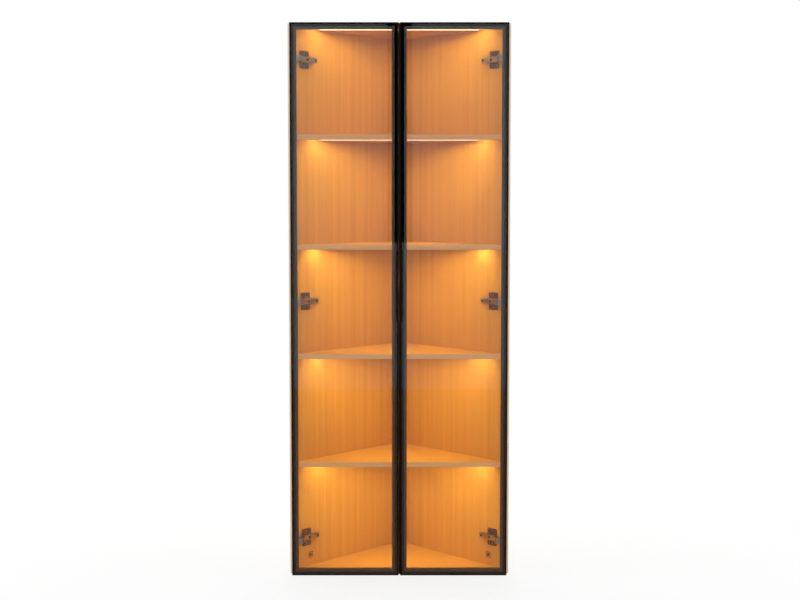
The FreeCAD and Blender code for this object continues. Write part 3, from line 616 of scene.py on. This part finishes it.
# ---- screws with cross recesses ----
SCREWS = {                    # mm: head radius and height, shank radius, length over all
    "plate_screws": (4.2, 1.6, 2.4, 13.5),
    "hinge_adjusting_screws": (4.4, 1.4, 2.0, 8.9),
    "case_screws": (5.0, 3.0, 3.1, 50.0),
    "left_cup_screws": (3.4, 1.0, 1.9, 4.0),
    "right_cup_screws": (3.4, 1.0, 1.9, 4.0),
}
TIP_SHARE = 0.6               # of the shank's radius
HEAD_ROUND = 0.4              # of the head's height
CROSS_DEPTH = 0.8
CROSS_LONG, CROSS_HALF = 0.62, 0.15             # of the head's radius
SCREW_AXES = [Vector(v).normalized() for v in ((1, 1, 0), (1, -1, 0), (0, 1, 0))]


def cross_screw(head_radius, head, shank_radius, length):
    """A pan-head screw with a cross recess; its head's top is at the origin."""
    screw = disc("screw", head_radius, 0.0, -head)
    pick(screw, "FACE", lambda normal: normal.z < -0.9)
    bpy.ops.mesh.inset(thickness=head_radius - shank_radius)
    bpy.ops.mesh.extrude_region_move(TRANSFORM_OT_translate={"value": (0, 0, head - length)})
    bpy.ops.transform.resize(value=(TIP_SHARE, TIP_SHARE, 1.0))
    leave_editing()
    pick(screw, "EDGE", lambda middle: middle.z > -0.01 * MM)
    bpy.ops.mesh.bevel(offset=head * HEAD_ROUND, segments=3, affect="EDGES")
    leave_editing()
    long, half, deep = head_radius * CROSS_LONG, head_radius * CROSS_HALF, head * CROSS_DEPTH
    cut_with(screw, block("slot", (-long, -half, -deep), (long, half, head)))
    cut_with(screw, block("slot", (-half, -long, -deep), (half, long, head)))
    smooth(screw)
    return screw


def head_of(points):
    """Where one screw's head top lies and which way it faces."""
    low = Vector([min(p[i] for p in points) for i in range(3)])
    high = Vector([max(p[i] for p in points) for i in range(3)])
    centre = (low + high) / 2

    def off_axis(point, axis):
        return ((point - centre) - axis * (point - centre).dot(axis)).length

    def spread(axis):
        return max(off_axis(p, axis) for p in points)

    axis = min(SCREW_AXES, key=spread)
    head_rim = [p for p in points if off_axis(p, axis) > 0.9 * spread(axis)]
    if sum((p - centre).dot(axis) for p in head_rim) < 0:
        axis = -axis
    top = max((p - centre).dot(axis) for p in points)
    return centre + axis * top, axis


def screw_heads(node):
    """The heads of all the screws in a carried-over piece."""
    loose = shaped_copy(node, "loose")
    pick(loose, "VERT", lambda place: True)
    bpy.ops.mesh.separate(type="LOOSE")
    bpy.ops.object.mode_set(mode="OBJECT")
    parts = list(bpy.context.selected_objects)
    heads = [head_of([v.co.copy() for v in part.data.vertices]) for part in parts]
    for part in parts:
        bpy.data.objects.remove(part)
    return heads


def add_screws():
    for node, sizes in SCREWS.items():
        screw = cross_screw(*(size * MM for size in sizes))
        copies = [copied_to(screw, node, *head) for head in screw_heads(node)]
        bpy.data.objects.remove(screw)
        fit_instead(joined(copies, f"{node}_recessed"), node)


# ---- hinges, handles and cover plates ----
SEAT_HALF = 5.0 * MM          # oblong seat round each plate screw
SEAT_SHIFT = 3.5 * MM
SEAT_DEPTH = 1.5 * MM
PLATE_EDGE = 0.9 * MM
ARM_EDGE = 0.7 * MM
CUP_EDGE = 0.3 * MM
HANDLE_EDGE = 0.25 * MM
KEY_PLATE_EDGE = 0.4 * MM


def screw_seat():
    """The oblong tool that sinks a plate screw's seat into the wing."""
    tool = disc("recess", SEAT_HALF, 2.0 * MM, -SEAT_DEPTH)
    for side in (-1, 1):
        pick(tool, "VERT", lambda place: place.x * side > 0.01 * MM)
        bpy.ops.transform.translate(value=(side * SEAT_SHIFT, 0, 0))
        bpy.ops.object.mode_set(mode="OBJECT")
    return tool


def add_hinge_metal():
    """Hinge plates with sunk screw seats, and edges that are rounded as pressed parts are."""
    heads = screw_heads("plate_screws")
    for side, sign in (("left", -1), ("right", 1)):
        node = f"{side}_hinge_plates"
        plates = shaped_copy(node, f"{node}_pressed")
        tool = screw_seat()
        seats = [copied_to(tool, "seat", place, axis) for place, axis in heads if place.x * sign > 0]
        bpy.data.objects.remove(tool)
        cut_with(plates, joined(seats, "seats"))
        soften(plates, PLATE_EDGE)
        fit_instead(plates, node)
        add_rounded(f"{side}_hinge_arms", "pressed", ARM_EDGE)
        add_rounded(f"{side}_hinge_cups", "pressed", CUP_EDGE)


# ---- dust seal ----
SEAL_BASE_THICK = 1.2 * MM
SEAL_LIP_HALF = 0.5 * MM      # half the lip's wall at its root
SEAL_EDGE = 0.15 * MM
SEAL_END = 1.0 * MM           # seal to the door's top and bottom
SEAL_RELIEF = 0.5 * MM        # lip to the handle
SEAL_REACH = 0.35 * MM        # how much nearer the soft tip comes to the other door


def add_dust_seal():
    """Rubber seal over the whole height, its lip thinner at the tip."""
    low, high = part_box("dust_seal")
    door_low, door_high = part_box("right_meeting_stile")
    z0, z1 = door_low.z + SEAL_END, door_high.z - SEAL_END
    base = block("seal_base", (high.x - SEAL_BASE_THICK, low.y, z0), (high.x, high.y, z1))
    y = (low.y + high.y) / 2
    tip_x = low.x - SEAL_REACH
    root_x = high.x - 0.1 * MM
    lip = block("seal_lip", (tip_x, y - SEAL_LIP_HALF, z0), (root_x, y + SEAL_LIP_HALF, z1))
    pick(lip, "VERT", lambda place: place.x < tip_x + 0.1 * MM)
    bpy.ops.transform.resize(value=(1.0, 0.5, 1.0))
    leave_editing()
    handle_low, handle_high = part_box("left_handle")
    relief = block(
        "relief",
        (low.x - 1.0 * MM, low.y - SEAL_RELIEF, handle_low.z - SEAL_RELIEF),
        (handle_high.x + SEAL_RELIEF, high.y + SEAL_RELIEF, handle_high.z + SEAL_RELIEF),
    )
    cut_with(lip, relief)
    seal = joined([base, lip], "dust_seal_lipped")
    soften(seal, SEAL_EDGE)
    fit_instead(seal, "dust_seal")


add_screws()
add_hinge_metal()
add_rounded("left_handle", "broken_edges", HANDLE_EDGE)
add_rounded("right_handle", "broken_edges", HANDLE_EDGE)
add_rounded("foot_key_plates", "moulded", KEY_PLATE_EDGE)
add_dust_seal()


# ---- light ----
STRIP_COUNT = 5
STRIP_POWER = 2.15
STRIP_WIDTH = 9.0 * MM
STRIP_SPREAD = 3.05
BELOW_BAR = 2.0 * MM          # from a bar's cover down to its lights
END_GLOW_POWER = 0.13         # light that leaves each end of a bar
END_GLOW_SIZE = (9.0 * MM, 4.0 * MM)
END_GLOW_INSET = 12.0 * MM
RETURN_POWER = 2.8            # warm light that the closed glass throws back inside
RETURN_COLOUR = (1.0, 0.62, 0.28)
STUDIO_LIGHTS = {             # place, size, power, aim
    "studio_left": ((-3.4, 0.2, 2.6), (2.4, 2.4), 70.0, (3.4, -0.2, -1.6)),
    "studio_right": ((3.4, 0.2, 2.6), (2.4, 2.4), 60.0, (-3.4, -0.2, -1.6)),
    "studio_back": ((0.0, 3.6, 2.8), (3.0, 2.0), 70.0, (0, -3.6, -1.8)),
    "studio_top": ((0.0, 0.6, 4.2), (3.0, 2.0), 45.0, (0, -0.1, -1)),
}


def area_light(name, place, size, power, aim, colour=WHITE):
    lamp = bpy.data.lights.new(name, "AREA")
    lamp.shape = "RECTANGLE"
    lamp.size, lamp.size_y = size
    lamp.energy = power
    lamp.color = colour
    lamp_object = bpy.data.objects.new(name, lamp)
    lamp_object.location = place
    lamp_object.rotation_euler = Vector(aim).to_track_quat("-Z", "Y").to_euler()
    bpy.context.scene.collection.objects.link(lamp_object)
    return lamp_object


def hidden_light(*light):
    """A light that is felt but isn't seen, directly or in the glass."""
    lamp_object = area_light(*light)
    lamp_object.visible_camera = False
    lamp_object.visible_glossy = False
    lamp_object.visible_transmission = False
    return lamp_object


def light_bar(number):
    low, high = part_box(f"light_channel_{number}")
    y, z = (low.y + high.y) / 2, low.z - BELOW_BAR
    size = (high.x - low.x - 2 * STRIP_END_DARK, STRIP_WIDTH)
    middle = ((low.x + high.x) / 2, y, z)
    strip = hidden_light(f"strip_{number}", middle, size, STRIP_POWER, (0, 0, -1), WARM_LIGHT)
    strip.data.spread = STRIP_SPREAD
    for side in (-1, 1):
        end = (side * (high.x - END_GLOW_INSET), y, z)
        aim = (side * 0.6, 0.5, -0.35)
        hidden_light("end_glow", end, END_GLOW_SIZE, END_GLOW_POWER, aim, WARM_LIGHT)


def light_from_glass():
    low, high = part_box("edge_bands")
    place = (0.0, low.y - 1.0 * MM, (low.z + high.z) / 2)
    size = (2 * CORNER_X, high.z - low.z)
    hidden_light("glass_return", place, size, RETURN_POWER, (0, 1, 0), RETURN_COLOUR)


for bar_number in range(1, STRIP_COUNT + 1):
    light_bar(bar_number)
light_from_glass()
for light_name, light_settings in STUDIO_LIGHTS.items():
    area_light(light_name, *light_settings)


# ---- studio ----
WORLD_LIGHT = 0.32
WORLD_LIGHT_INSIDE = 0.08     # what of it still reaches the boards through the glass
FLOOR_SIZE = 60.0
FLOOR_WHITE = 0.82            # share of plain white near the object; the rest keeps its shadow
SHADOW_RADIUS = 1.2           # the floor keeps its shading this far out and then turns white
FLOOR_PAINTED_WARM_REFLECTION = (0.95, 0.54, 0.36)             # painted warm reflection: the floor's white turns this colour where glass and metal reflect it
SCREEN_Y = -4.8
SCREEN_WIDTH, SCREEN_HEIGHT = 8.0, 4.0
STAND_HALF, STAND_FOOT = 0.088, 1.05
STAND_TONE = (0.02, 0.02, 0.02)


def studio_world():
    """White where it is seen, and an even light that is lower for all that lights the object."""
    world = bpy.data.worlds.new("studio")
    bpy.context.scene.world = world
    world.use_nodes = True
    nodes = Nodes(world.node_tree)
    shown = nodes.ray("Is Camera Ray").at_least(nodes.ray("Is Glossy Ray"))
    shown = shown.at_least(nodes.ray("Is Transmission Ray")) * (nodes.ray("Diffuse Depth") < 0.5)
    past_glass = nodes.ray("Transmission Depth") > 1.5
    light = past_glass * (WORLD_LIGHT_INSIDE - WORLD_LIGHT) + WORLD_LIGHT
    background = world.node_tree.nodes["Background"]
    nodes.feed(background.inputs["Color"], WHITE)
    nodes.feed(background.inputs["Strength"], shown.at_least(light))


def studio_floor():
    """Floor that is white where it is seen and keeps the object's shadow; where it is reflected, its
    white carries a painted warm tint.
    """
    bpy.ops.object.select_all(action="DESELECT")
    bpy.ops.mesh.primitive_plane_add(size=FLOOR_SIZE, location=(0, 0, FLOOR_Z))
    floor = bpy.context.object
    floor.name = "studio_floor"
    finish = Finish("pale_floor", Roughness=0.9, Specular_IOR_Level=0.0)
    cloud = finish.noise(2.0)
    finish.set(Base_Color=finish.blend(cloud, (0.88, 0.88, 0.88), (0.90, 0.90, 0.90)))
    # in reflections the floor's white is painted warm
    mirrored = finish.ray("Glossy Depth") > 0.5
    painted_warm_tint = finish.blend(mirrored, WHITE, FLOOR_PAINTED_WARM_REFLECTION)
    white = finish.node("Emission", Color=painted_warm_tint, Strength=1.0)
    in_glass = finish.ray("Is Glossy Ray").at_least(finish.ray("Is Transmission Ray"))
    seen = (in_glass * (finish.ray("Diffuse Depth") < 0.5)).at_least(finish.ray("Is Camera Ray"))
    away = finish.node(
        "VectorMath", output="Value", settings={"operation": "LENGTH"}, i0=finish.place()
    )
    share = FLOOR_WHITE + away.rise(SHADOW_RADIUS, SHADOW_RADIUS) * (1.0 - FLOOR_WHITE)
    shaded = Value(finish, finish.shader.outputs[0])
    finish.show(finish.node("MixShader", i0=seen * share, i1=shaded, i2=white))
    floor.data.materials.append(finish.material)


def studio_screen():
    """White screen behind the camera with a dark stand before it, seen only as a reflection."""
    bpy.ops.object.select_all(action="DESELECT")
    bpy.ops.mesh.primitive_plane_add(size=1.0)
    screen = bpy.context.object
    screen.name = "studio_screen"
    bpy.ops.object.mode_set(mode="EDIT")
    bpy.ops.mesh.select_all(action="SELECT")
    bpy.ops.transform.resize(value=(SCREEN_WIDTH, SCREEN_HEIGHT, 1.0))
    bpy.ops.transform.rotate(
        value=-math.pi / 2, orient_axis="X", center_override=(0.0, 0.0, 0.0)
    )
    bpy.ops.transform.translate(value=(0.0, SCREEN_Y, SCREEN_HEIGHT / 2))
    bpy.ops.object.mode_set(mode="OBJECT")
    finish = Finish("screen_light")
    on_stand = (finish.along("X").magnitude() < STAND_HALF) * (finish.along("Z") > STAND_FOOT)
    light = finish.node("Emission", Color=WHITE, Strength=1.0)
    dark = finish.node("Emission", Color=STAND_TONE, Strength=1.0)
    finish.show(finish.node("MixShader", i0=on_stand, i1=light, i2=dark))
    screen.data.materials.append(finish.material)
    screen.visible_camera = screen.visible_diffuse = False
    screen.visible_transmission = screen.visible_shadow = False


def add_camera():
    data = bpy.data.cameras.new("camera")
    data.sensor_width = SENSOR
    data.lens = FOCAL_PX / IMAGE_WIDTH * SENSOR
    data.shift_y = CAMERA_SHIFT_PX / IMAGE_WIDTH
    camera = bpy.data.objects.new("camera", data)
    camera.location = (CAMERA_RIGHT, GLASS_FRONT - CAMERA_DISTANCE, CAMERA_HEIGHT)
    camera.rotation_euler = (math.pi / 2 - CAMERA_PITCH, 0, 0)
    bpy.context.scene.collection.objects.link(camera)
    bpy.context.scene.camera = camera


studio_world()
studio_floor()
studio_screen()
add_camera()
bpy.context.scene.view_settings.view_transform = "Standard"
